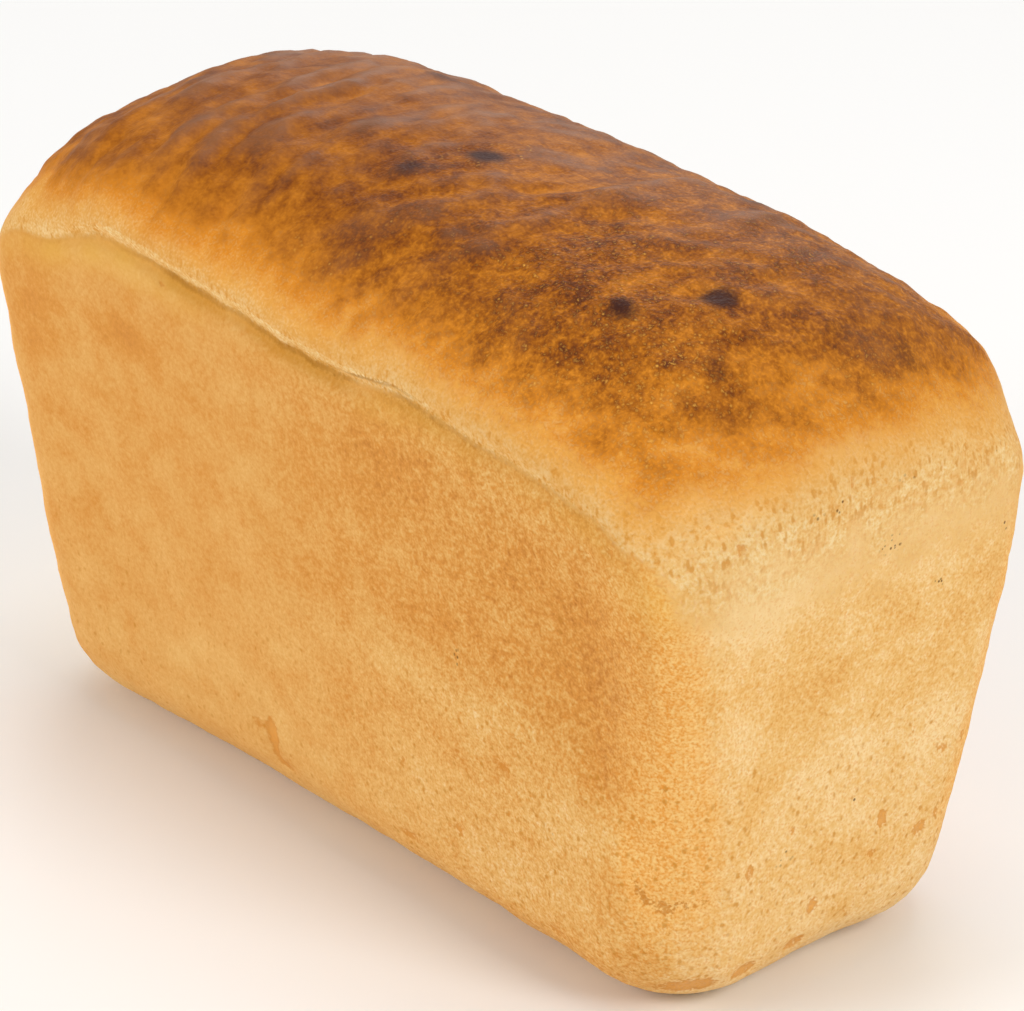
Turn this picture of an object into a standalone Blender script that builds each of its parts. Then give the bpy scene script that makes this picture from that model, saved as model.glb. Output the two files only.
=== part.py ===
# Tin loaf: one solid of bread, as it comes out of a tapered tin.
# Metres, +Z up. +X runs along the loaf, and the origin is the middle of the base that it rests on.

import math

import bmesh
import bpy
from mathutils import Vector, noise

MM = 0.001

# Driving sizes. The loaf fills a 220 mm tin, 115 mm deep, whose walls lean outwards.
RIM_LENGTH = 220.8 * MM
RIM_WIDTH = 99.6 * MM
BASE_LENGTH = 198.8 * MM
BASE_WIDTH = 78.8 * MM
RIM_HEIGHT = 115.5 * MM
CROWN_HEIGHT = 140.9 * MM

# Rounding, and how far the baked walls bow out of line
BASE_EDGE_RADIUS = 15 * MM
BASE_CORNER_RADIUS = 22.5 * MM
RIM_CORNER_RADIUS = 11.5 * MM
LEAST_RADIUS = 3 * MM
WALL_BOW = 1 * MM

# Height of the rim above or below its middle value, at stations along the front and back sides
FRONT_RIM = (
    (-110, -16), (-86, -5.5), (-56, 1.8), (-16, -0.8), (0, -2.9), (14, -3.7), (32, -1.8), (64, -4.2),
    (84, -6.4), (95, -10.6), (110, -19),
)
BACK_RIM = ((-110, -17), (-88, -5), (-60, 0), (-20, 2), (25, -1), (60, 1.5), (90, -5), (110, -18))
END_RIM_POWER = 1.5

# The crown's cross-section is close to half an ellipse, and its length is flat with falling ends
CROWN_POWER_LONG = 4.9
CROWN_POWER_SHORT = 2.45
CROWN_ROUNDING_SHORT = 1.6

# Crease where the risen crust overhangs each long side: a narrow groove below a lip that fades upwards.
# Each side has stations of x and of how far the crease is open there.
GROOVE_DEPTH = 2.2 * MM
GROOVE_REACH = 1.8 * MM
LIP_DEPTH = 1.4 * MM
LIP_REACH = 11 * MM
FRONT_CREASE = (
    (-100, 0), (-84, 0.2), (-68, 0.6), (-52, 1), (14, 1), (26, 0.6), (60, 0.5), (84, 0.35), (100, 0),
)
BACK_CREASE = ((-96, 0), (-80, 0.7), (-20, 0.6), (10, 0.8), (70, 0.6), (86, 0))

# Hollows of the baked walls and crown: middle, reach along each axis, depth; a bulge has a depth below 0
HOLLOWS = (
    ((84, -50, 76), (17, 30, 25), 1.8),
    ((110, -20, 73), (30, 14, 13), 2.0),
    ((110, 22, 60), (30, 18, 26), 0.7),
    ((96, -38, 24), (16, 16, 16), -1.3),
    ((104, 10, 34), (16, 26, 14), -0.8),
    ((-60, -50, 60), (34, 30, 30), 0.9),
    ((-20, 50, 70), (40, 30, 30), 1.2),
    ((60, 50, 52), (30, 30, 24), 0.9),
    ((-110, 4, 66), (30, 26, 28), 1.3),
    ((-66, 8, 140), (16, 20, 30), 1.0),
    ((30, -14, 141), (18, 16, 30), 0.7),
    ((70, 14, 138), (16, 22, 30), -0.7),
    ((64, 47, 125), (22, 14, 15), 2.8),
    ((4, 37, 132), (26, 16, 20), -0.8),
    ((85, 44, 120), (9, 10, 10), -1.8),
    ((98, 47, 108), (10, 12, 11), 0.7),
    ((-99, -43, 112), (11, 12, 12), 1.1),
    ((-88, -17, 131), (14, 14, 14), 1.1),
    ((-80, 20, 134), (15, 16, 14), 0.9),
    ((-46, 33, 134), (24, 13, 14), 0.4),
    ((-101, -46, 72), (14, 18, 34), 1.6),
)

# Lower half of the front: a soft shelf, below which the wall stands out
SHELF_LINE = ((-20, 54), (24, 60), (54, 61), (76, 58), (88, 46), (96, 26), (110, 16))
SHELF_DEPTH = 1.5 * MM
SHELF_SOFTNESS = 5 * MM
SHELF_START = -15 * MM
SHELF_FULL = 30 * MM
SHELF_INNER = 25 * MM
SHELF_OUTER = 40 * MM

# The base's long and short edges arch up between the feet; the flat middle of the base doesn't.
# The arch is full at a share of the base's rounded edge, and gone at a share of the wall.
SIDE_ARCH = 2.5 * MM
SIDE_ARCH_HALF = 92 * MM
END_ARCH = 1.8 * MM
END_ARCH_MIDDLE = 3 * MM
END_ARCH_REACH = 17 * MM
ARCH_FULL = 0.6
ARCH_GONE = 0.7

# Wrinkles run across the crown: middle of each patch along the loaf, its reach and its strength.
# They bend by a share of their spacing, and their crests stand above a middle level.
WRINKLE_DEPTH = 1.1 * MM
WRINKLE_SPACING = Vector((13, 46, 60)) * MM
WRINKLE_PATCHES = ((-66 * MM, 30 * MM, 1.0), (22 * MM, 26 * MM, 0.7), (84 * MM, 14 * MM, 0.4))
WRINKLE_BEND = 0.7
WRINKLE_LEVEL = 0.6
WRINKLE_RISE = 12 * MM

# Unevenness is everywhere but the flat base, and grows from the walls to the crown
UNEVEN_CROWN = 0.9 * MM
UNEVEN_WALL = 0.5 * MM
UNEVEN_SPACING = 24 * MM
UNEVEN_FOOT = -6 * MM
UNEVEN_HEAD = 8 * MM
UNEVEN_LAYERS = 2
NOISE_START = Vector((3.1, 7.7, 1.9))

# Grid of the solid: cells along the length, the width and the wall, and how they crowd to the edges
CELLS_LONG = 54
CELLS_SHORT = 28
CELLS_WALL = 22
EDGE_CROWDING_LONG = 0.45
EDGE_CROWDING_SHORT = 0.9
FILLET_SHARE = 0.3
WALL_CROWDING = 1.35

# Rounds that smooth the shoulder at both ends, where the crust has no crease
SHOULDER_ROUNDS = 14
SHOULDER_START = 90 * MM
SHOULDER_FULL = 106 * MM
SHOULDER_FOOT = 80 * MM
SHOULDER_RISE = 14 * MM

CRUST_COLOUR = (0.62, 0.33, 0.11, 1)
CRUST_ROUGHNESS = 0.55
TINY = 1e-6


def clear_scene():
    for old in list(bpy.data.objects):
        bpy.data.objects.remove(old, do_unlink=True)


def crowd(t, amount):
    """Moves grid lines, from -1 to 1, towards the two edges."""
    return (1 - amount) * t + amount * math.sin(t * math.pi / 2)


def ease(value, low, high):
    """0 below low, 1 above high, and a smooth climb between."""
    t = min(1.0, max(0.0, (value - low) / (high - low)))
    return t * t * (3 - 2 * t)


def value_along(stations, x):
    """Smooth value at x, through stations whose x is given in millimetres."""
    x = min(max(x / MM, stations[0][0]), stations[-1][0])
    for (x0, value0), (x1, value1) in zip(stations, stations[1:]):
        if x <= x1:
            return value0 + (value1 - value0) * ease(x, x0, x1)
    return stations[-1][1]


def along_line(stations, x):
    """Smooth height in metres at x, through stations given in millimetres."""
    return value_along(stations, x) * MM


def plan_point(u, v, half_length, half_width, radius):
    """A point of the square, -1 to 1, on a rectangle with round corners."""
    x, y = abs(u) * half_length, abs(v) * half_width
    p = max(0.0, (x - (half_length - radius)) / radius)
    q = max(0.0, (y - (half_width - radius)) / radius)
    if p and q:
        x = half_length - radius + radius * p * math.sqrt(1 - q * q / 2)
        y = half_width - radius + radius * q * math.sqrt(1 - p * p / 2)
    return math.copysign(x, u), math.copysign(y, v)


def rim_height(u, v):
    """Where the crust leaves the wall: wavy along each side, lower at the corners."""
    x = u * RIM_LENGTH / 2
    front, back = along_line(FRONT_RIM, x), along_line(BACK_RIM, x)
    rise = (back if v > 0 else front) * abs(v) ** END_RIM_POWER
    return RIM_HEIGHT + rise


def wall_section(z):
    """Half length, half width and corner radius of the tin's shape at height z."""
    share = z / RIM_HEIGHT
    bow = WALL_BOW * 4 * share * (1 - share)
    half_length = (BASE_LENGTH + (RIM_LENGTH - BASE_LENGTH) * share) / 2 + bow
    half_width = (BASE_WIDTH + (RIM_WIDTH - BASE_WIDTH) * share) / 2 + bow
    radius = BASE_CORNER_RADIUS + (RIM_CORNER_RADIUS - BASE_CORNER_RADIUS) * share
    return half_length, half_width, radius


def section_point(u, v, z, inset):
    half_length, half_width, radius = wall_section(z)
    radius = max(radius - inset, LEAST_RADIUS)
    return plan_point(u, v, half_length - inset, half_width - inset, radius)


def edge_arch(x, y):
    """How far the base's outer edge is lifted at this place of its outline."""
    side = SIDE_ARCH * max(0.0, 1 - (x / SIDE_ARCH_HALF) ** 2)
    end = END_ARCH * math.exp(-((y - END_ARCH_MIDDLE) / END_ARCH_REACH) ** 2)
    return side + end * ease(abs(x), SIDE_ARCH_HALF - BASE_EDGE_RADIUS, SIDE_ARCH_HALF)


def wall_point(u, v, level):
    """A point of the wall, from level 0 at the base to 1 at the rim."""
    if level < FILLET_SHARE:
        angle = level / FILLET_SHARE * math.pi / 2
        z = BASE_EDGE_RADIUS * (1 - math.cos(angle))
        inset = BASE_EDGE_RADIUS * (1 - math.sin(angle))
    else:
        climb = 1 - (1 - (level - FILLET_SHARE) / (1 - FILLET_SHARE)) ** WALL_CROWDING
        z = BASE_EDGE_RADIUS + (rim_height(u, v) - BASE_EDGE_RADIUS) * climb
        inset = 0.0
    x, y = section_point(u, v, z, inset)
    arch = ease(level, 0, FILLET_SHARE * ARCH_FULL) * (1 - ease(level, FILLET_SHARE, ARCH_GONE))
    return Vector((x, y, z + edge_arch(x, y) * arch))


def crown_point(u, v):
    """A point of the domed top, which starts at the rim all round."""
    rise_long = 1 - abs(u) ** CROWN_POWER_LONG
    rise_short = max(0.0, 1 - abs(v) ** CROWN_POWER_SHORT) ** (1 / CROWN_ROUNDING_SHORT)
    rim = rim_height(u, v)
    x, y = section_point(u, v, rim, 0.0)
    return Vector((x, y, rim + (CROWN_HEIGHT - rim) * rise_long * rise_short))


def base_point(u, v):
    """A point of the flat base."""
    x, y = section_point(u, v, 0.0, BASE_EDGE_RADIUS)
    return Vector((x, y, 0))


def loaf_point(u, v, w):
    """Carries a point of the gridded cube, each coordinate -1 to 1, onto the loaf."""
    u = crowd(u, EDGE_CROWDING_LONG)
    v = crowd(v, EDGE_CROWDING_SHORT)
    if w > 1 - TINY:
        return crown_point(u, v)
    if w < -1 + TINY:
        return base_point(u, v)
    return wall_point(u, v, (w + 1) / 2)


def gridded_cube(cells):
    """A cube from -1 to 1 cut into a grid with this many cells along X, Y and Z."""
    bm = bmesh.new()
    bmesh.ops.create_cube(bm, size=2)
    for axis, count in enumerate(cells):
        along = [e for e in bm.edges if abs(e.verts[0].co[axis] - e.verts[1].co[axis]) > TINY]
        bmesh.ops.subdivide_edges(bm, edges=along, cuts=count - 1, use_grid_fill=True)
    return bm


def smooth_shoulders(bm):
    """Evens out the corners and the two ends' upper edges, and leaves the rest alone."""
    shares = {}
    for vert in bm.verts:
        end = ease(abs(vert.co.x), SHOULDER_START, SHOULDER_FULL)
        height = ease(vert.co.z, SHOULDER_FOOT, SHOULDER_FOOT + SHOULDER_RISE)
        if end * height > 0:
            shares[vert] = end * height / 2
    for _ in range(SHOULDER_ROUNDS):
        moved = {}
        for vert, share in shares.items():
            near = [edge.other_vert(vert).co for edge in vert.link_edges]
            moved[vert] = vert.co.lerp(sum(near, Vector()) / len(near), share)
        for vert, place in moved.items():
            vert.co = place


def crease_offset(place):
    """In below the rim of a long side, and out above it, where the crust overhangs."""
    rim, crease = (FRONT_RIM, FRONT_CREASE) if place.y < 0 else (BACK_RIM, BACK_CREASE)
    above = place.z - RIM_HEIGHT - along_line(rim, place.x)
    groove = GROOVE_DEPTH * math.exp(-(above / GROOVE_REACH) ** 2)
    lip = LIP_DEPTH * math.exp(-(above / LIP_REACH) ** 2) * ease(above, 0, GROOVE_REACH)
    return (lip - groove) * value_along(crease, place.x)


def hollow_offset(place):
    total = 0.0
    for middle, reach, depth in HOLLOWS:
        away = sum(((p / MM - m) / r) ** 2 for p, m, r in zip(place, middle, reach))
        total -= depth * MM * math.exp(-away)
    return total


def shelf_offset(place):
    """The front's lower half stands out below a soft line."""
    if place.y > 0:
        return 0.0
    below = along_line(SHELF_LINE, place.x) - place.z
    stretch = ease(place.x, SHELF_START, SHELF_FULL) * ease(-place.y, SHELF_INNER, SHELF_OUTER)
    return SHELF_DEPTH * stretch * (ease(below, -SHELF_SOFTNESS, SHELF_SOFTNESS) - 0.5)


def wrinkle_offset(place):
    patches = sum(s * math.exp(-((place.x - x) / reach) ** 2) for x, reach, s in WRINKLE_PATCHES)
    crown = ease(place.z, RIM_HEIGHT, RIM_HEIGHT + WRINKLE_RISE)
    stretched = Vector(p / s for p, s in zip(place, WRINKLE_SPACING))
    bend = noise.noise(stretched * WRINKLE_BEND + NOISE_START)
    ridge = 1 - 2 * abs(noise.noise(stretched + Vector((bend, 0, 0))))
    return WRINKLE_DEPTH * patches * crown * (ridge - WRINKLE_LEVEL)


def uneven_offset(place):
    crown = ease(place.z, RIM_HEIGHT + UNEVEN_FOOT, RIM_HEIGHT + UNEVEN_HEAD)
    amount = UNEVEN_WALL + (UNEVEN_CROWN - UNEVEN_WALL) * crown
    return amount * noise.fractal(place / UNEVEN_SPACING + NOISE_START, 1.0, 2.0, UNEVEN_LAYERS)


def add_relief(bm):
    """Moves every vertex above the flat base along its normal."""
    bm.normal_update()
    for vert in [v for v in bm.verts if v.co.z > TINY]:
        place = vert.co
        off_base = ease(place.z, 0, BASE_EDGE_RADIUS)
        offset = hollow_offset(place) + shelf_offset(place) + uneven_offset(place)
        offset += crease_offset(place) + wrinkle_offset(place)
        vert.co = place + vert.normal * offset * off_base


def centre_plan(bm):
    """Puts the middle of the loaf's box over the origin."""
    for axis in (0, 1):
        places = [vert.co[axis] for vert in bm.verts]
        middle = (min(places) + max(places)) / 2
        for vert in bm.verts:
            vert.co[axis] -= middle


def loaf_mesh():
    bm = gridded_cube((CELLS_LONG, CELLS_SHORT, CELLS_WALL))
    for vert in bm.verts:
        vert.co = loaf_point(*vert.co)
    bmesh.ops.recalc_face_normals(bm, faces=bm.faces)
    smooth_shoulders(bm)
    add_relief(bm)
    centre_plan(bm)
    flat = [face for face in bm.faces if all(v.co.z < TINY for v in face.verts)]
    bmesh.ops.dissolve_faces(bm, faces=flat)
    mesh = bpy.data.meshes.new("loaf")
    bm.to_mesh(mesh)
    bm.free()
    mesh.shade_smooth()
    return mesh


def crust_material():
    material = bpy.data.materials.new("crust")
    material.use_nodes = True
    shader = material.node_tree.nodes["Principled BSDF"]
    shader.inputs["Base Color"].default_value = CRUST_COLOUR
    shader.inputs["Roughness"].default_value = CRUST_ROUGHNESS
    shader.inputs["Metallic"].default_value = 0.0
    return material


def main():
    clear_scene()
    collection = bpy.data.collections.new("tin_loaf")
    bpy.context.scene.collection.children.link(collection)
    loaf = bpy.data.objects.new("loaf", loaf_mesh())
    loaf.data.materials.append(crust_material())
    collection.objects.link(loaf)


main()
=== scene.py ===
# Looks of the tin loaf: fine relief in the crust, its baked colours, and a plain studio.
import math

import bpy
import numpy as np
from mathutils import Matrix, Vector, noise


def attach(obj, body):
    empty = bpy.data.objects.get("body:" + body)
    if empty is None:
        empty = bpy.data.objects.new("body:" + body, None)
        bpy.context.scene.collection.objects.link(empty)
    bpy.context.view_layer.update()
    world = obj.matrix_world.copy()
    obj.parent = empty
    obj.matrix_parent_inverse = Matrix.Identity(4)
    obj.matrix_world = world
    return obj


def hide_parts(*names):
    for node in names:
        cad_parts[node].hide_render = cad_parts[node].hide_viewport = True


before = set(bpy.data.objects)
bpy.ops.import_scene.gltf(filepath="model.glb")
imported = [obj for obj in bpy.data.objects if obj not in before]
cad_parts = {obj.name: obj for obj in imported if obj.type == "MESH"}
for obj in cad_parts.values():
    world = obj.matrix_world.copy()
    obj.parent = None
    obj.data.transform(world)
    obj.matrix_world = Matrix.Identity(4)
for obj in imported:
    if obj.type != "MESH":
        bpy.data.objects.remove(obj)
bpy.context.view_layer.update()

MM = 0.001
# Points closer than this touch
TOUCHING = 0.01 * MM

# View of the photograph: turned and raised about a point in the loaf, through a long lens
VIEW_AZIMUTH = math.radians(49.27)
VIEW_ELEVATION = math.radians(25.96)
VIEW_DISTANCE = 1.0005
VIEW_AIM = Vector((8.25, 0, 67.66)) * MM
SENSOR_WIDTH = 36.0
LENS = 176.9

# The studio: its floor in metres, how bright the room is, and each lamp's name, place, size and power
FLOOR_SIZE = 6.0
ROOM_LIGHT = 0.4
LAMPS = (
    ("key", (1.4, 0.1, 1.1), 0.7, 11),
    ("fill", (-0.7, -1.6, 0.9), 1.0, 13),
    ("overhead", (-0.2, 0.3, 1.8), 1.2, 10),
    ("back", (-1.2, 1.3, 0.9), 1.0, 5),
)

# Shape of the loaf in millimetres: the middle height of the tin's rim, how the rim line wanders
# above and below it along the front and the back, and how far the crease below it is open
RIM = 115.5
FRONT_RIM = (
    (-110, -16), (-86, -5.5), (-56, 1.8), (-16, -0.8), (0, -2.9), (14, -3.7), (32, -1.8), (64, -4.2),
    (84, -6.4), (95, -10.6), (110, -19),
)
BACK_RIM = ((-110, -17), (-88, -5), (-60, 0), (-20, 2), (25, -1), (60, 1.5), (90, -5), (110, -18))
FRONT_CREASE = (
    (-100, 0), (-84, 0.2), (-68, 0.6), (-52, 1), (14, 1), (26, 0.6), (60, 0.5), (84, 0.35), (100, 0),
)
BACK_CREASE = ((-96, 0), (-80, 0.7), (-20, 0.6), (10, 0.8), (70, 0.6), (86, 0))

# Fine relief of the crust in millimetres: how high or deep each kind is, and how wide its lines are
FOLD_HEIGHT = 0.5
FAR_FOLD_EXTRA = 0.3
RIDGE_HEIGHT = 0.8
RIDGE_WIDTH = 2.4
SWELL_HEIGHT = 0.4
LUMP_HEIGHT = 0.3
WALL_LUMP_HEIGHT = 0.2
CRUMB_HEIGHT = 0.09
BLISTER_HEIGHT = 0.5
CREASE_DEPTH = 0.6
CREASE_REACH = 2
PIT_DEPTH = 0.8
CRACK_DEPTH = 0.5
CRACK_WIDTH = 1.2
# Width of the painted shade along the cracks
CRACK_SHADE_WIDTH = 1.3

# Folds of the crown's skin: the way they run in degrees, and their length, width and depth
FAR_FOLDS = (98, (17, 4.6, 40))
NEAR_FOLDS = (47, (14, 4.4, 40))

# Masks that hold a height keep it within this many millimetres
MASK_REACH = 30

# Where the colours lie, in millimetres: how far above the rim the crown starts to brown, how far below
# it the dough is yellowest and how wide that band is, and the heights between which an end turns pale
CROWN_START = 4.5
YELLOW_DROP = 3
YELLOW_WIDTH = 3.8
END_PALE_FROM = 82
END_PALE_TO = 106

# How brown the crown and the walls are where nothing changes it, how much paler the ends are, how much the
# foot of the walls is painted paler as painted light against the floor's shade, and how cream the torn
# dough is
CROWN_BAKE = 0.66
WALL_BROWN = 0.5
END_PALER = 0.28
FOOT_PAINTED_LIGHT = 0.14
DOUGH_CREAM = 0.5

# Blender's soft noise stays within about 0.6, and this brings it to 1
NOISE_GAIN = 1.6


# Reckoning with heights, distances and soft steps
def ease(value, low, high):
    """0 below low, 1 above high, and a smooth climb between."""
    t = np.clip((value - low) / (high - low), 0, 1)
    return t * t * (3 - 2 * t)


def along_line(stations, x):
    """Smooth value at x through stations of x and value."""
    xs, values = np.array(stations, float).T
    i = np.clip(np.searchsorted(xs, x) - 1, 0, len(xs) - 2)
    return values[i] + (values[i + 1] - values[i]) * ease(x, xs[i], xs[i + 1])


def wander(places, size, start):
    """Soft noise from about -1 to 1, in bumps of this size, where each start gives another pattern."""
    spots = places / np.array(size) + start
    return np.array([noise.noise(spot) for spot in spots.tolist()]) * NOISE_GAIN


def from_line(places, points):
    """Distance of each place from a line through the points."""
    nearest = np.full(len(places), np.inf)
    for first, last in zip(np.array(points[:-1], float), np.array(points[1:], float)):
        run = last - first
        share = np.clip((places - first) @ run / (run @ run), 0, 1)
        nearest = np.minimum(nearest, np.linalg.norm(places - first - share[:, None] * run, axis=1))
    return nearest


def marks(places, table, sharpness=2):
    """Sum of soft round marks, each with a middle, a reach along each axis and a strength.

    The reach into the loaf is long, so that a mark is whole wherever the surface lies.
    """
    total = np.zeros(len(places))
    for middle, reach, strength in table:
        away = np.linalg.norm((places - np.array(middle)) / np.array(reach), axis=1)
        total += strength * np.exp(-(away ** sharpness))
    return total


def streaks(places, table, width):
    """Soft lines through points, each with a strength."""
    total = np.zeros(len(places))
    for points, strength in table:
        total = np.maximum(total, strength * np.exp(-((from_line(places, points) / width) ** 2)))
    return total


# The loaf's mesh
def alone(piece):
    bpy.ops.object.select_all(action="DESELECT")
    piece.select_set(True)
    bpy.context.view_layer.objects.active = piece


def select_base(piece):
    """Selects the faces that lie flat on the ground, and no others."""
    for part in (*piece.data.vertices, *piece.data.edges):
        part.select = False
    for face in piece.data.polygons:
        face.select = all(piece.data.vertices[i].co.z < TOUCHING for i in face.vertices)


def welded_copy(node, name):
    """A copy of a CAD node in welded quads, with its flat base as one face."""
    piece = bpy.data.objects.new(name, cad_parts[node].data.copy())
    bpy.context.scene.collection.objects.link(piece)
    alone(piece)
    bpy.ops.object.mode_set(mode="EDIT")
    bpy.ops.mesh.select_all(action="SELECT")
    bpy.ops.mesh.remove_doubles(threshold=TOUCHING)
    bpy.ops.mesh.customdata_custom_splitnormals_clear()
    bpy.ops.mesh.tris_convert_to_quads(face_threshold=math.radians(60), shape_threshold=math.radians(90))
    bpy.ops.object.mode_set(mode="OBJECT")
    select_base(piece)
    bpy.ops.object.mode_set(mode="EDIT")
    bpy.ops.mesh.dissolve_faces()
    bpy.ops.object.mode_set(mode="OBJECT")
    return piece


def finish_modifier(piece, kind, **settings):
    alone(piece)
    modifier = piece.modifiers.new(kind.lower(), kind)
    for name, value in settings.items():
        setattr(modifier, name, value)
    bpy.ops.object.modifier_apply(modifier=modifier.name)


def places_of(piece):
    """Every vertex's place in millimetres."""
    places = np.empty(len(piece.data.vertices) * 3)
    piece.data.vertices.foreach_get("co", places)
    return places.reshape(-1, 3) / MM


def normals_of(piece):
    normals = np.empty(len(piece.data.vertices) * 3)
    piece.data.vertex_normals.foreach_get("vector", normals)
    return normals.reshape(-1, 3)


def push(piece, places, normals, heights):
    """Moves every vertex along its normal, by its height in millimetres."""
    moved = (places + normals * heights[:, None]) * MM
    piece.data.vertices.foreach_set("co", moved.ravel())
    piece.data.update()


# Where things are on the loaf
def rim_heights(places):
    """Height of the rim line at each place, from the line of the side that it is nearer to."""
    front = along_line(FRONT_RIM, places[:, 0])
    back = along_line(BACK_RIM, places[:, 0])
    share = ease(places[:, 1], -20, 20)
    return RIM + front * (1 - share) + back * share


def endness(normals):
    """1 where the loaf faces along its length, 0 where it faces across it."""
    across, along = np.abs(normals[:, 1]), np.abs(normals[:, 0])
    return ease(along - across, -0.35, 0.35)


def by_side(places, front, back):
    """Value along the stations of the side that each place is on."""
    x = places[:, 0]
    return np.where(places[:, 1] < 0, along_line(front, x), along_line(back, x))


# Burnt blisters of the crown, in millimetres: middle, reach along each axis, and strength
BURNS = (
    ((75, -7.5, 137), (4.0, 4.4, 9), 1.0),
    ((66, -23, 136), (4.0, 2.8, 9), 0.95),
    ((3, -2, 141), (5.4, 3.8, 9), 0.95),
    ((-5, -15, 140), (3.4, 3.4, 9), 0.7),
    ((60, -6.5, 138), (4.0, 2.8, 9), 0.35),
    ((88, -20, 131), (3.4, 2.8, 9), 0.45),
    ((88, -28, 129), (3.0, 3.6, 9), 0.3),
    ((97, 20, 125), (3.6, 3.8, 9), 0.4),
    ((73, 9, 137), (2.6, 3.6, 9), 0.35),
    ((90, 8, 131), (4.0, 3.2, 9), 0.35),
    ((30, -35, 134), (3.2, 2.2, 9), 0.4),
    ((28, -10, 140), (2.0, 3.0, 9), 0.35),
    ((-1, -28, 137), (4.4, 1.8, 9), 0.35),
    ((-42, 24, 138), (4.2, 3.2, 9), 0.6),
    ((44, 30, 136), (3.6, 3.6, 9), 0.5),
    ((-84, 12, 133), (3.6, 3.0, 9), 0.45),
)

# Patches of the crown that baked darker, or lighter where the strength is below 0
CROWN_PATCHES = (
    ((46, -28, 135), (38, 8, 30), 0.1),
    ((10, -26, 137), (18, 7, 30), 0.04),
    ((83, -31, 128), (14, 9, 20), -0.22),
    ((-4, -41, 128), (14, 7, 14), -0.1),
    ((19, -41, 128), (10, 6, 14), -0.12),
    ((-42, -22, 136), (24, 14, 30), 0.07),
    ((-47, -43, 127), (15, 8, 14), 0.13),
    ((95, 12, 127), (9, 20, 14), -0.05),
    ((89, -31, 127), (7, 6, 14), -0.12),
    ((-6, -15, 139), (14, 8, 30), 0.1),
    ((73, -14, 137), (13, 6, 30), -0.05),
    ((31, -12, 139), (8, 6, 30), 0.07),
    ((94, -7, 129), (6, 11, 20), -0.2),
    ((88, 5, 132), (6, 7, 20), 0.14),
    ((60, 14, 138), (22, 10, 30), 0.07),
    ((13, 12, 140), (5, 10, 30), -0.1),
    ((-65, 8, 138), (8, 6, 30), 0.2),
    ((-50, -30, 134), (4.5, 9, 30), -0.16),
    ((-34, -34, 134), (6, 4, 30), -0.08),
    ((-95, 26, 122), (5, 12, 30), 0.12),
    ((-98, -20, 120), (8, 20, 30), -0.08),
    ((74, -43, 123), (20, 7, 12), -0.08),
    ((80, -43, 122), (6, 3, 5), 0.2),
    ((-20, 30, 137), (26, 8, 30), 0.12),
    ((30, 40, 130), (14, 6, 20), -0.12),
)

# Ridges of the crown's skin, whose tops get a painted grey sheen and a glossier coat: plan lines and
# strengths
RIDGES = (
    (((32, 26), (33, 8), (31, -14), (27, -26), (22, -36)), 0.9),
    (((-55, 16), (-56, -6), (-54, -24), (-57, -40)), 1.0),
    (((-46, 2), (-47, -22), (-45, -39)), 0.8),
    (((-28, -10), (-30, -26), (-27, -40)), 0.65),
    (((-40, 12), (-37, -6), (-38, -20)), 0.7),
    (((-70, 20), (-72, 0), (-68, -30)), 0.8),
    (((52, 30), (56, 12), (52, -2)), 0.5),
    (((-12, 16), (-20, -4), (-14, -22)), 0.7),
    (((8, -4), (16, -12), (12, -25)), 0.55),
    (((22, -27), (30, -25)), 0.9),
    (((44, -32), (54, -36)), 0.4),
    (((10, 34), (18, 14)), 0.5),
    (((-86, 30), (-84, -4)), 0.6),
)

# Patches of the walls that are browner, or paler where the strength is below 0: mostly the crust's own
# tone, with a few of painted light and shade, as marked below
WALL_PATCHES = (
    ((88, -50, 75), (11, 30, 17), 0.26),
    ((84, -48, 54), (8, 30, 8), 0.12),
    ((62, -50, 88), (20, 30, 15), 0.04),
    ((24, -50, 97), (17, 30, 11), 0.12),
    ((44, -50, 68), (26, 30, 6), 0.08),
    ((-52, -50, 97), (9, 30, 5), 0.1),
    ((-86, -50, 100), (8, 30, 12), 0.12),
    ((-88, -50, 82), (6, 30, 6), 0.1),
    # A paler streak along the edge of the low shelf: a painted highlight
    ((40, -48, 54.5), (34, 30, 5), -0.12),
    ((80, -48, 43), (9, 30, 9), -0.12),
    ((60, -46, 30), (40, 30, 22), -0.16),
    ((-40, -46, 44), (44, 30, 22), -0.04),
    ((-20, -42, 18), (80, 30, 16), -0.1),
    ((57, -48, 45), (2.2, 9, 1.3), 0.3),
    ((30, -48, 52), (3, 9, 1.5), 0.14),
    # On the near end, browner and paler patches about its middle: partly its own tone, partly painted
    # shade in its hollow and a painted highlight along its slanting ridge
    ((110, -13, 66), (30, 9, 12), 0.15),
    ((-104, -46, 80), (7, 30, 40), 0.16),
    ((108, -24, 52), (30, 4, 6), 0.12),
    ((110, 30, 76), (30, 10, 12), 0.12),
    ((110, 4, 84), (30, 7, 4), 0.1),
    ((110, 24, 70), (30, 5, 4), 0.08),
    ((110, -26, 93), (30, 13, 10), -0.2),
    ((110, 8, 101), (30, 32, 7), -0.08),
    ((108, -28, 60), (30, 4, 12), -0.1),
    ((106, -14, 46), (30, 10, 6), -0.08),
    ((106, 14, 48), (30, 24, 10), -0.06),
    ((-60, 50, 80), (18, 30, 14), 0.22),
    ((38, 50, 60), (26, 30, 18), 0.14),
    ((84, 50, 90), (12, 30, 12), 0.14),
    ((-4, 50, 99), (22, 30, 10), 0.12),
    ((-24, 46, 34), (34, 30, 12), -0.12),
    ((-110, 8, 70), (30, 13, 16), 0.18),
    ((-110, -22, 92), (30, 12, 9), -0.16),
    ((-107, 20, 40), (30, 14, 12), -0.1),
)

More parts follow.
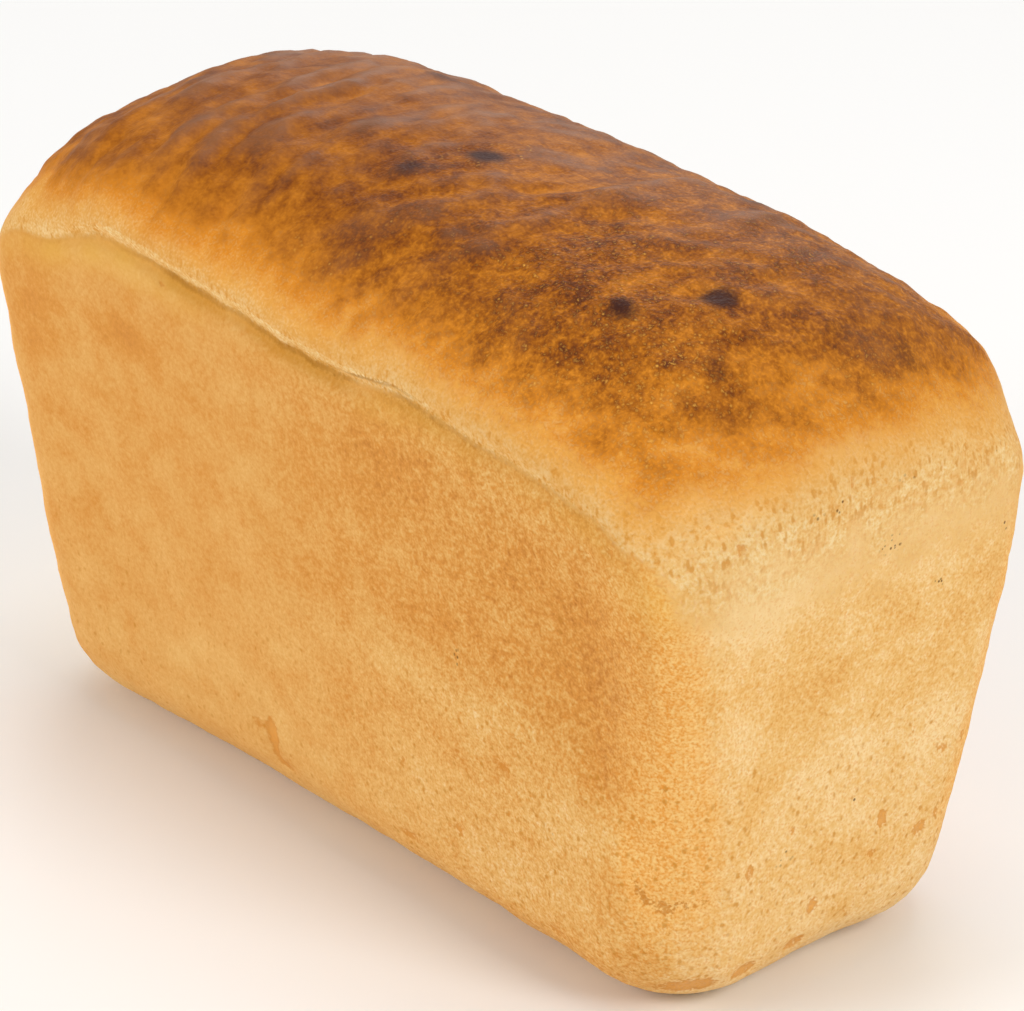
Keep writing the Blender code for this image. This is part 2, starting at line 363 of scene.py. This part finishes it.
# Pits, with crisp edges
PITS = (
    ((96, -31, 8), (8, 5.4, 3.0), 1.0),
    ((99, -20, 9.5), (8, 3.2, 2.2), 0.9),
    ((99, -7, 10.5), (8, 2.6, 1.9), 0.85),
    ((104, 11, 33), (8, 1.9, 1.8), 0.85),
    ((103, 22, 26.5), (8, 2.3, 2.0), 0.85),
    ((103, 27, 28), (8, 1.4, 1.8), 0.7),
    ((103, 9, 25.5), (8, 1.5, 1.5), 0.75),
    ((102, -5, 19), (8, 1.6, 2.2), 0.85),
    ((104, 26, 43), (8, 2.0, 1.6), 0.6),
    ((104, 33, 43), (8, 2.4, 1.6), 0.6),
    ((104, -23.5, 34), (8, 1.2, 2.6), 0.65),
    ((105, -13, 39), (8, 1.3, 1.5), 0.65),
    ((109, -31, 105), (8, 0.8, 1.5), 0.8),
    ((108, 34, 112.5), (8, 1.9, 1.3), 0.7),
    ((109, -5, 110.5), (8, 1.0, 2.4), 0.5),
    ((-40, -50, 113.5), (0.9, 8, 0.8), 0.75),
    ((84, -49, 100.5), (1.4, 8, 1.2), 0.8),
    ((90, -49, 103.5), (1.3, 8, 1.2), 0.8),
    ((-18.5, -44, 18), (1.9, 8, 6.5), 0.85),
    ((-22.5, -44, 20.5), (3.6, 8, 1.4), 0.65),
    ((-15.5, -43, 12.5), (3.2, 8, 1.8), 0.6),
    ((42, -45, 24), (2.2, 8, 2.0), 0.75),
    ((25.5, -46, 32), (1.0, 8, 2.8), 0.65),
    ((25, -43, 15), (3.4, 8, 1.5), 0.7),
    ((68, -43, 12), (3.0, 8, 1.6), 0.7),
    ((57, -48, 45), (1.9, 8, 1.3), 0.6),
    ((-60, 48, 40), (2.4, 8, 1.6), 0.8),
    ((22, 46, 24), (1.8, 8, 2.8), 0.75),
    ((70, 45, 14), (3.8, 8, 2.0), 0.8),
    ((-30, 43, 11), (4.2, 8, 2.0), 0.8),
    ((-104, -16, 34), (8, 1.9, 1.9), 0.85),
    ((-100, 14, 10), (8, 4.2, 2.2), 0.85),
    ((-105, 24, 52), (8, 1.5, 2.0), 0.7),
)

# Small charred specks, each in several crumbs
SPECKS = (
    ((110, 5.5, 95), (8, 3.4, 2.2), 1.0),
    ((110, -8, 107.5), (8, 1.8, 1.4), 1.0),
    ((109, 33, 104.5), (8, 1.5, 1.3), 0.9),
    ((109, 37, 88.5), (8, 1.6, 1.2), 0.95),
    ((109, 19.5, 82.5), (8, 1.4, 1.3), 0.85),
    ((105, 3, 40.5), (8, 1.3, 1.3), 0.85),
    ((107, 45, 82.5), (8, 1.4, 1.6), 0.85),
    ((105, -14.5, 34), (8, 4.0, 4.0), 0.6),
    ((110, -15, 107), (8, 5.0, 1.6), 0.55),
    ((110, 9, 108), (8, 5.0, 1.6), 0.55),
    ((45, -48, 64), (1.0, 8, 3.4), 0.8),
    ((70, -46, 36), (3.0, 8, 2.4), 0.55),
    ((-20, 50, 90), (2.6, 8, 1.8), 0.9),
    ((-109, 16, 98), (8, 2.8, 1.8), 0.9),
)

# Thin cracks, sunk in the relief and darkened with painted shade
CRACKS = (
    (((91.5, -44, 39), (92.5, -43, 34), (94, -41, 30), (97, -38, 28)), 1.0),
    (((94, -41, 30), (99, -36, 29.5), (102, -30, 30)), 0.95),
    (((97, -38, 24), (98, -37, 16)), 0.7),
    (((-18, 46, 34), (-14, 46, 30), (-13, 45, 24)), 0.9),
)

# How dark the painted shade line in the crease is along each side, and where a second painted shade line
# splits off above it
FRONT_CREASE_SHADE = (
    (-100, 0), (-84, 0.1), (-60, 0.25), (-44, 0.55), (-36, 1), (-28, 0.8), (-18, 0.55), (-8, 0.8),
    (5, 1), (14, 0.7), (21, 0.1), (27, 0.25), (34, 0.7), (42, 0.5), (60, 0.28), (84, 0.2), (98, 0),
)
BACK_CREASE_SHADE = ((-92, 0), (-78, 0.7), (-40, 0.4), (-10, 0.8), (20, 0.9), (50, 0.4), (72, 0.5), (84, 0))
SPLIT_CREASE_SHADE = ((-110, 0), (12, 0), (20, 0.75), (30, 0.5), (42, 0), (110, 0))
NO_LINE = ((-110, 0), (110, 0))

# How yellow the dough shows below the crease
FRONT_TINT = (
    (-100, 0.2), (-76, 0.7), (-52, 1), (-40, 0.7), (-20, 0.2), (12, 0.1), (26, 0.5), (50, 0.25),
    (72, 0.3), (88, 0.4), (100, 0),
)
BACK_TINT = ((-96, 0), (-70, 0.7), (-30, 0.2), (10, 0.6), (60, 0.3), (90, 0.6), (100, 0))

# Height at which the crust colours across an end, from its left edge to its right
END_LINE = ((-50, 108), (-34, 111), (-20, 113), (-8, 114), (18, 113.5), (36, 110), (50, 106))

# Corners of the loaf where the torn dough is creamier, where it is yellower, and where the wall is orange
CREAM_CORNERS = (((108, -28, 98), (30, 13, 11), 0.16), ((-108, 28, 98), (30, 13, 11), 0.16))
YELLOW_CORNERS = (((102, -46, 97), (8, 8, 7), 0.54), ((-102, 46, 97), (8, 8, 7), 0.42))
ORANGE_CORNERS = (((96, -46, 58), (10, 20, 42), 0.85),)


def turned(places, angle):
    """The places in axes turned by this angle about the height."""
    cos, sin = math.cos(math.radians(angle)), math.sin(math.radians(angle))
    x, y, z = places.T
    return np.stack([x * cos + y * sin, y * cos - x * sin, z], axis=1)


def fold_pattern(places):
    """Soft folds of the crown's skin, about -1 to 1: across the far part, slanting on the rest."""
    far_turn, far_size = FAR_FOLDS
    near_turn, near_size = NEAR_FOLDS
    far = wander(turned(places, far_turn), far_size, 2.6)
    near = wander(turned(places, near_turn), near_size, 5.1)
    share = ease(-places[:, 0], -5, 35)
    return far * share + near * (1 - share)


def crown_relief(places, folds):
    """Height in millimetres of the crown's folds, ridges, lumps and blisters, calmer at its outline."""
    x, y = places[:, 0], places[:, 1]
    calm = (1 - 0.6 * ease(y, -5, 20)) * (1 - 0.7 * ease(-x, 68, 88))
    heights = folds * (FOLD_HEIGHT + FAR_FOLD_EXTRA * ease(-x, -10, 40)) * calm
    heights += RIDGE_HEIGHT * streaks(places[:, :2], RIDGES, RIDGE_WIDTH)
    heights += SWELL_HEIGHT * calm * wander(places, 12, 6.1)
    heights += LUMP_HEIGHT * wander(places, 4.5, 7.7)
    return heights + BLISTER_HEIGHT * np.clip(marks(places, BURNS), 0, 1)


def crease_relief(places, above):
    """How deep the open crease below the lip is at each place, in millimetres, with a ragged edge."""
    opening = by_side(places, FRONT_CREASE, BACK_CREASE) * ease(np.abs(places[:, 1]), 40, 45)
    ragged = 0.6 + 0.4 * wander(places, 7, 4.2)
    return CREASE_DEPTH * np.exp(-((above / CREASE_REACH) ** 2)) * opening * ragged


def relief(places, normals, folds):
    """Height in millimetres of the fine shape of the crust at each place, with the base left flat."""
    above = places[:, 2] - rim_heights(places)
    off_base = ease(places[:, 2], 0.5, 6)
    crown = ease(above, 2, 11) * ease(normals[:, 2], 0.05, 0.5)
    heights = crown * crown_relief(places, folds)
    heights += off_base * (1 - crown) * WALL_LUMP_HEIGHT * wander(places, 9, 9.4)
    heights += off_base * CRUMB_HEIGHT * wander(places, 2.4, 0.6)
    heights -= crease_relief(places, above)
    heights -= off_base * PIT_DEPTH * np.clip(marks(places, PITS), 0, 1)
    return heights - CRACK_DEPTH * streaks(places, CRACKS, CRACK_WIDTH)


# Masks painted on the loaf for its colours
def paint(piece, name, values, low=0, high=1):
    layer = piece.data.attributes.new(name, "FLOAT", "POINT")
    layer.data.foreach_set("value", np.clip(values, low, high).astype(np.float32))


def paint_crown(piece, places, folds, rise, drift, small):
    """How brown the top is, its burns, the painted grey sheen and glossier coat of its ridges, crests and
    far part, and its golden flecks.
    """
    x, y = places[:, 0], places[:, 1]
    fine = wander(places, 2.6, 3.9)
    blotches = 0.1 * drift + 0.13 * small + 0.12 * fine + 0.12 * folds
    patches = marks(places, CROWN_PATCHES) + blotches * ease(rise, -1, 11)
    paint(piece, "bake", CROWN_BAKE * ease(rise, -1, 16) + patches)
    paint(piece, "burn", marks(places, BURNS, 3) * (1 + 0.15 * small))
    ridges = streaks(places[:, :2], RIDGES, RIDGE_WIDTH) * (0.7 + 0.6 * small)
    # Painted sheen: the grey of a grazing reflection, painted over the crown's far part and on its fold
    # crests and ridges; the same mask sets the coat
    far = 0.32 * ease(y, -14, 26) + 0.2 * ease(-x, 10, 70) * ease(y, -38, -20)
    crests = ease(folds, -0.1, 0.8) * (0.04 + 0.75 * ease(-x, -50, 30) + 0.4 * ease(y, -10, 20))
    paint(piece, "grey", (ridges * 0.55 + far + crests * 0.8) * ease(rise, 5, 14))
    flecked = ease(x, -60, 10) * (1 - 0.5 * ease(y, 0, 25)) * ease(rise, 3, 9)
    paint(piece, "flecked", flecked * (0.75 + 0.5 * drift))


def paint_rim(piece, places, above, end, drift, small):
    """Pale dough under the crown, its yellow tint, and the painted shade lines of the crease."""
    fine = wander(places, 2.4, 2.2)
    cream = DOUGH_CREAM + 0.1 * drift + 0.1 * small + 0.1 * fine
    paint(piece, "dough", cream + marks(places, CREAM_CORNERS))
    drop = ease(places[:, 2] + 5 * small, END_PALE_FROM, END_PALE_TO) * 0.9
    paint(piece, "pale", ease(above, -0.7, 0.7) * (1 - end) + drop * end)
    tint = np.exp(-((above + YELLOW_DROP) / YELLOW_WIDTH) ** 2) * by_side(places, FRONT_TINT, BACK_TINT)
    paint(piece, "tint", tint * (1 - end) * (0.8 + 0.4 * small) + marks(places, YELLOW_CORNERS))
    paint(piece, "above", above + 0.5 * small, -MASK_REACH, MASK_REACH)
    side = (1 - end) * ease(np.abs(places[:, 1]), 36, 42)
    # Painted shade in the crease: how dark its line is, and where a second line splits off above it
    paint(piece, "line", by_side(places, FRONT_CREASE_SHADE, BACK_CREASE_SHADE) * side)
    paint(piece, "split", by_side(places, SPLIT_CREASE_SHADE, NO_LINE) * side)


def paint_walls(piece, places, normals, end, drift, small):
    """How brown and how porous the walls are, with painted light at their foot and painted shade and
    highlights in a few patches, their orange corners, pits, cracks darkened with painted shade, and
    specks.
    """
    x, z = places[:, 0], places[:, 2]
    # The foot of the walls is painted paler: painted light against the shade by the floor
    brown = WALL_BROWN - END_PALER * end - FOOT_PAINTED_LIGHT * (1 - ease(z, 2, 16))
    mottles = (0.05 + 0.02 * end) * (drift + small)
    paint(piece, "brown", brown + marks(places, WALL_PATCHES) + mottles)
    corner = ease(np.abs(normals[:, 0] * normals[:, 1]), 0.16, 0.45) * ease(z, 6, 36)
    corner = np.maximum(corner, marks(places, ORANGE_CORNERS))
    paint(piece, "corner", corner * (1 - ease(z, 96, 106)))
    low = (1 - ease(z, 44, 62)) * ease(z, 3, 10)
    paint(piece, "porous", low * (0.35 + 0.65 * ease(x, 0, 50)) + 0.15)
    paint(piece, "pits", marks(places, PITS, 3))
    paint(piece, "specks", marks(places, SPECKS))
    # Cracks darkened in colour: the crust's own deeper orange, with painted shade in them
    paint(piece, "cracks", streaks(places, CRACKS, CRACK_SHADE_WIDTH))


def paint_masks(piece, places, normals, folds):
    """Each mask says how much of one effect of baking there is at each vertex."""
    end = endness(normals)
    rim = rim_heights(places)
    above = places[:, 2] - rim
    drift = wander(places, (15, 15, 11), 1.7)
    small = wander(places, 5, 8.3)
    across = places[:, 1] * np.sign(places[:, 0])
    line = (rim + CROWN_START) * (1 - end) + along_line(END_LINE, across) * end
    under_lip = normals[:, 2] < -0.2
    rise = np.where(under_lip, -MASK_REACH, places[:, 2] - line - 1.2 * drift - 0.8 * small)
    paint(piece, "rise", rise, -MASK_REACH, MASK_REACH)
    paint(piece, "crisp", (0.35 + 0.75 * ease(places[:, 0], -40, 90)) * (1 - 0.2 * end))
    paint_crown(piece, places, folds, rise, drift, small)
    paint_rim(piece, places, above, end, drift, small)
    paint_walls(piece, places, normals, end, drift, small)


def make_loaf():
    piece = welded_copy("loaf", "loaf_crust")
    finish_modifier(piece, "SUBSURF", levels=2, render_levels=2, boundary_smooth="PRESERVE_CORNERS")
    places, normals = places_of(piece), normals_of(piece)
    folds = fold_pattern(places)
    push(piece, places, normals, relief(places, normals, folds))
    paint_masks(piece, places, normals, folds)
    piece.data.shade_smooth()
    return piece


# Shader maths
class Wire:
    """A value in a material, which can be added, multiplied and so on."""

    def __init__(self, finish, socket):
        self.finish = finish
        self.socket = socket

    def reckon(self, operation, first, second=0.0):
        return self.finish.node("Math", {"operation": operation}, {0: first, 1: second})

    def __add__(self, other):
        return self.reckon("ADD", self, other)

    def __radd__(self, other):
        return self.reckon("ADD", other, self)

    def __sub__(self, other):
        return self.reckon("SUBTRACT", self, other)

    def __rsub__(self, other):
        return self.reckon("SUBTRACT", other, self)

    def __mul__(self, other):
        return self.reckon("MULTIPLY", self, other)

    def __rmul__(self, other):
        return self.reckon("MULTIPLY", other, self)

    def __abs__(self):
        return self.reckon("ABSOLUTE", self)

    def step(self, low, high):
        """0 where the value is low, 1 where it is high, and a smooth climb between."""
        settings = {"interpolation_type": "SMOOTHSTEP"}
        return self.finish.node("MapRange", settings, {"Value": self, "From Min": low, "From Max": high})


# Places of a Mix node's colour sockets: its share, its two colours and its result
MIX_SHARE = 0
MIX_FIRST = 6
MIX_SECOND = 7
MIX_COLOUR = 2


def place_stops(ramp, stops):
    """Gives a colour ramp these stops, each a place from 0 to 1 and a colour."""
    while len(ramp.elements) < len(stops):
        ramp.elements.new(1.0)
    for element, (place, colour) in zip(ramp.elements, stops):
        element.position = place
        element.color = colour


class Finish:
    """A material and the nodes that it is made of."""

    def __init__(self, name):
        self.material = bpy.data.materials.new(name)
        self.material.use_nodes = True
        self.tree = self.material.node_tree
        self.shader = self.tree.nodes["Principled BSDF"]

    def node(self, kind, settings=None, inputs=None, output=0):
        node = self.tree.nodes.new("ShaderNode" + kind)
        for name, value in (settings or {}).items():
            if name == "stops":
                place_stops(node.color_ramp, value)
            else:
                setattr(node, name, value)
        for name, value in (inputs or {}).items():
            self.feed(node.inputs[name], value)
        return Wire(self, node.outputs[output])

    def feed(self, socket, value):
        if isinstance(value, Wire):
            self.tree.links.new(value.socket, socket)
        else:
            socket.default_value = value

    def mask(self, name):
        return self.node("Attribute", {"attribute_name": name}, output="Fac")

    def room(self, size):
        """Object coordinates in which a step of 1 is this size in millimetres."""
        sizes = size if isinstance(size, tuple) else (size,) * 3
        place = self.node("TexCoord", output="Object")
        return self.node("Mapping", {}, {"Vector": place, "Scale": [1 / (s * MM) for s in sizes]})

    def noise(self, size, detail=1.0, roughness=0.5):
        """Soft noise from 0 to 1, about 0.5 in the middle, in bumps of this size."""
        inputs = {"Vector": self.room(size), "Scale": 1.0, "Detail": detail, "Roughness": roughness}
        return self.node("TexNoise", {}, inputs)

    def cells(self, size):
        """Distance to the nearest of points scattered about this size apart."""
        return self.node("TexVoronoi", {}, {"Vector": self.room(size), "Scale": 1.0})

    def mix(self, share, first, second):
        """A colour that is the first where the share is 0 and the second where it is 1."""
        inputs = {MIX_SHARE: share, MIX_FIRST: first, MIX_SECOND: second}
        return self.node("Mix", {"data_type": "RGBA"}, inputs, MIX_COLOUR)

    def ramp(self, value, stops):
        return self.node("ValToRGB", {"stops": stops}, {"Fac": value})


def shade(red, green, blue):
    """A colour given in 0 to 255 as a screen shows it."""
    return (*(((c / 255 + 0.055) / 1.055) ** 2.4 for c in (red, green, blue)), 1.0)


# Colours of the crust
WALL_TONES = (
    (0.0, shade(250, 216, 158)), (0.3, shade(238, 188, 112)), (0.6, shade(221, 151, 68)),
    (1.0, shade(182, 104, 38)),
)
CROWN_TONES = (
    (0.0, shade(230, 162, 70)), (0.2, shade(216, 134, 32)), (0.42, shade(190, 114, 22)),
    (0.62, shade(160, 90, 10)), (0.82, shade(126, 64, 8)), (1.0, shade(94, 44, 10)),
)
DOUGH_TONES = ((0.0, shade(222, 156, 70)), (0.5, shade(236, 190, 118)), (1.0, shade(247, 219, 164)))
TINT = shade(236, 184, 86)
# Painted shade in and about the crease: a soft golden band and a dark line
CREASE_SOFT_SHADE = shade(212, 150, 50)
CREASE_LINE_SHADE = shade(160, 102, 18)
BURN = shade(58, 26, 20)
# Painted sheen: the grey of a grazing reflection on the crown
PAINTED_SHEEN = shade(152, 98, 56)
FLECK = shade(238, 172, 70)
PIT_FLOOR = shade(230, 156, 66)
# Darker rims of the pits; the same colour is painted shade in the cracks
PIT_RIM_AND_CRACK_SHADE = shade(192, 120, 40)
PORE = shade(208, 140, 50)
GRAIN = shade(226, 146, 56)
SPECK = shade(108, 68, 22)
SAND = shade(245, 202, 130)
CORNER_LIGHT = shade(254, 208, 130)
CORNER_DARK = shade(240, 162, 68)
FLOOR_LIGHT = shade(252, 251, 249)
FLOOR_DARK = shade(248, 247, 245)

# Sizes of the fine patterns in millimetres, and of the floor's cloudiness
SAND_SIZE = 0.55
CRUMB_SIZE = 1.25
FIBRE_SIZE = (0.8, 0.8, 1.8)
DOT_GAP = 1.15
PORE_GAP = (2.1, 2.1, 2.8)
SLIT_GAP = (1.5, 1.5, 3.6)
CLOUD_SIZE = 400

# How rough and how glossy the crust is, how strong its fine grain is and how high in millimetres,
# and how rough the floor is
WALL_ROUGHNESS = 0.76
CROWN_SMOOTHNESS = 0.2
COAT = 0.28
COAT_ROUGHNESS = 0.4
SHINE = 0.12
GRAIN_STRENGTH = 0.6
GRAIN_HEIGHT = 0.6
FLOOR_ROUGHNESS = 0.9


class Grains:
    """What the crust's parts share: noises that lie about 0, scattered dots, and the crown's rise."""

    def __init__(self, crust):
        crisp = crust.mask("crisp")
        self.sand = crust.noise(SAND_SIZE) - 0.5
        self.speckle = self.sand * crisp
        self.crumb = (crust.noise(CRUMB_SIZE, roughness=0.6) - 0.5) * crisp
        self.fibres = crust.noise(FIBRE_SIZE, roughness=0.6) - 0.5
        self.dots = crust.cells(DOT_GAP)
        self.rise = crust.mask("rise")


def wall_colour(crust, grains):
    """Tan crust that lay against the tin, with a fine crumbly grain and pores."""
    brown = crust.mask("brown") + grains.speckle * 0.5 + grains.crumb * 0.7
    colour = crust.ramp(brown, WALL_TONES)
    mottles = (grains.speckle * 1.4 + grains.crumb * 0.7).step(-0.4, 0.4)
    orange = crust.mix(mottles, CORNER_LIGHT, CORNER_DARK)
    colour = crust.mix(crust.mask("corner") * 0.8, colour, orange)
    pores = 1 - (crust.cells(PORE_GAP) - grains.crumb * 0.5).step(0.06, 0.3)
    pores = pores * (crust.mask("porous") + grains.crumb * 1.6).step(0.25, 0.7)
    return crust.mix(pores * 0.65, colour, PORE)


def dough_colour(crust, grains):
    """Pale, torn dough of the band below the crown, in upright fibres with slits between them."""
    torn = crust.mask("dough") + grains.fibres * 0.5 + grains.sand * 1.6 + grains.crumb * 1.2
    slits = 1 - (crust.cells(SLIT_GAP) + grains.crumb * 0.6).step(0.15, 0.38)
    return crust.mix(slits * grains.rise.step(-20, -6) * 0.8, crust.ramp(torn, DOUGH_TONES), PORE)


def crown_colour(crust, grains):
    """Golden to dark brown top crust, mottled, with small yellow blisters and a painted grey sheen."""
    bake = crust.mask("bake")
    tone = bake + (grains.speckle * 0.5 + grains.crumb * 0.95) * (bake + 0.45)
    colour = crust.ramp(tone, CROWN_TONES)
    sand = (grains.sand + grains.crumb * 0.7).step(-0.1, 0.3) * (0.5 - bake * 1.2)
    colour = crust.mix(sand, colour, SAND)
    # Painted sheen on the ridges, crests and far part of the crown
    grey = crust.mask("grey") * (0.6 + grains.crumb)
    colour = crust.mix(grey, colour, PAINTED_SHEEN)
    flecked = crust.mask("flecked")
    flecks = (1 - grains.dots.step(0.05, 0.4)) * (flecked + grains.crumb * 2.4).step(0.75, 1.4)
    grits = (grains.speckle + grains.crumb * 0.5).step(0.1, 0.26) * flecked
    colour = crust.mix(flecks * 0.6 + grits * 0.4, colour, FLECK)
    burn = (crust.mask("burn") + grains.speckle * 0.4).step(0.1, 0.95)
    return crust.mix(burn * 0.96, colour, BURN)


def mark_colour(crust, grains, colour):
    """Adds the crease's painted shade lines, pits, cracks darkened with painted shade, and charred specks,
    and says how deep they are.
    """
    above = crust.mask("above") + grains.speckle * 1.6
    # Painted shade of the crease: a soft golden band about it, a dark line along it, and a second line
    # where it splits
    soft = (1 - abs(above + 0.6).step(0.3, 3.2)) * crust.mask("line")
    line = (1 - abs(above).step(0.2, 1.2)) * crust.mask("line") * (0.7 + grains.crumb * 2)
    split = (1 - abs(above - 1.7).step(0.1, 0.7)) * crust.mask("split")
    colour = crust.mix(soft * 0.7, colour, CREASE_SOFT_SHADE)
    colour = crust.mix((line + split) * 0.8, colour, CREASE_LINE_SHADE)
    ragged = 1 + grains.crumb * 2.2 + grains.speckle
    sunk = (crust.mask("pits") * ragged).step(0.3, 0.55)
    rim = sunk - (crust.mask("pits") * ragged).step(0.45, 0.9)
    cracks = (crust.mask("cracks") * ragged).step(0.6, 0.85)
    colour = crust.mix(sunk * 0.65, colour, PIT_FLOOR)
    # Darker pit rims, and painted shade in the cracks
    colour = crust.mix(rim * 0.3 + cracks * 0.5, colour, PIT_RIM_AND_CRACK_SHADE)
    specks = (1 - grains.dots.step(0.2, 0.36)) * crust.mask("specks").step(0.3, 0.6)
    return crust.mix(specks * 0.9, colour, SPECK), sunk + cracks


def crust_colour(crust, grains, crown):
    """The wall, the torn dough and the crown over each other, and how deep the marks in them are."""
    colour = crust.mix(crust.mask("tint") * 0.6, wall_colour(crust, grains), TINT)
    colour = crust.mix(crust.mask("pale"), colour, dough_colour(crust, grains))
    grain = (grains.speckle * 2 - grains.crumb).step(0.05, 0.45)
    colour = crust.mix(grain * 0.35, colour, GRAIN)
    colour = crust.mix(crown, colour, crown_colour(crust, grains))
    return mark_colour(crust, grains, colour)


def crust_bump(crust, grains, sunk):
    """Normals of the fine grain, with upright fibres in the torn dough and floors in the pits."""
    height = grains.speckle * 0.5 + grains.crumb + grains.fibres * crust.mask("pale") * 0.4 - sunk * 0.3
    inputs = {"Height": height, "Strength": GRAIN_STRENGTH, "Distance": GRAIN_HEIGHT * MM}
    return crust.node("Bump", {}, inputs, "Normal")


def crust_finish():
    crust = Finish("baked_crust")
    grains = Grains(crust)
    crown = (grains.rise + grains.fibres * 3 + grains.speckle * 6 + grains.crumb * 6).step(-7, 5)
    colour, sunk = crust_colour(crust, grains, crown)
    sockets = crust.shader.inputs
    crust.feed(sockets["Base Color"], colour)
    crust.feed(sockets["Roughness"], WALL_ROUGHNESS - crown * CROWN_SMOOTHNESS + grains.speckle * 0.3)
    crust.feed(sockets["Coat Weight"], crust.mask("grey") * crown * COAT)
    crust.feed(sockets["Normal"], crust_bump(crust, grains, sunk))
    sockets["Coat Roughness"].default_value = COAT_ROUGHNESS
    sockets["Specular IOR Level"].default_value = SHINE
    return crust.material


# The studio
def floor_finish():
    paper = Finish("floor_paper")
    colour = paper.mix(paper.noise(CLOUD_SIZE, detail=2.0), FLOOR_LIGHT, FLOOR_DARK)
    paper.feed(paper.shader.inputs["Base Color"], colour)
    paper.shader.inputs["Roughness"].default_value = FLOOR_ROUGHNESS
    return paper.material


def make_floor():
    bpy.ops.object.select_all(action="DESELECT")
    bpy.ops.mesh.primitive_plane_add(size=FLOOR_SIZE)
    floor = bpy.context.object
    floor.name = "floor"
    floor.data.materials.append(floor_finish())


def add_lamp(name, place, size, power):
    """A round soft lamp that points at the loaf."""
    light = bpy.data.lights.new(name, "AREA")
    light.shape = "DISK"
    light.size = size
    light.energy = power
    lamp = bpy.data.objects.new(name, light)
    bpy.context.scene.collection.objects.link(lamp)
    lamp.location = place
    lamp.rotation_euler = (VIEW_AIM - Vector(place)).to_track_quat("-Z", "Y").to_euler()


def add_lights():
    for lamp in LAMPS:
        add_lamp(*lamp)
    room = bpy.data.worlds.new("studio")
    bpy.context.scene.world = room
    room.use_nodes = True
    room.node_tree.nodes["Background"].inputs["Color"].default_value = (1, 1, 1, 1)
    room.node_tree.nodes["Background"].inputs["Strength"].default_value = ROOM_LIGHT


def add_camera():
    camera = bpy.data.cameras.new("camera")
    camera.sensor_fit = "HORIZONTAL"
    camera.sensor_width = SENSOR_WIDTH
    camera.lens = LENS
    stand = bpy.data.objects.new("camera", camera)
    bpy.context.scene.collection.objects.link(stand)
    flat = math.cos(VIEW_ELEVATION)
    way = Vector((math.sin(VIEW_AZIMUTH) * flat, -math.cos(VIEW_AZIMUTH) * flat, math.sin(VIEW_ELEVATION)))
    stand.location = VIEW_AIM + way * VIEW_DISTANCE
    stand.rotation_euler = (math.pi / 2 - VIEW_ELEVATION, 0, VIEW_AZIMUTH)
    bpy.context.scene.camera = stand


add_camera()
loaf = make_loaf()
loaf.data.materials.clear()
loaf.data.materials.append(crust_finish())
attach(loaf, "root")
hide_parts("loaf")
make_floor()
add_lights()
bpy.context.scene.view_settings.view_transform = "Standard"
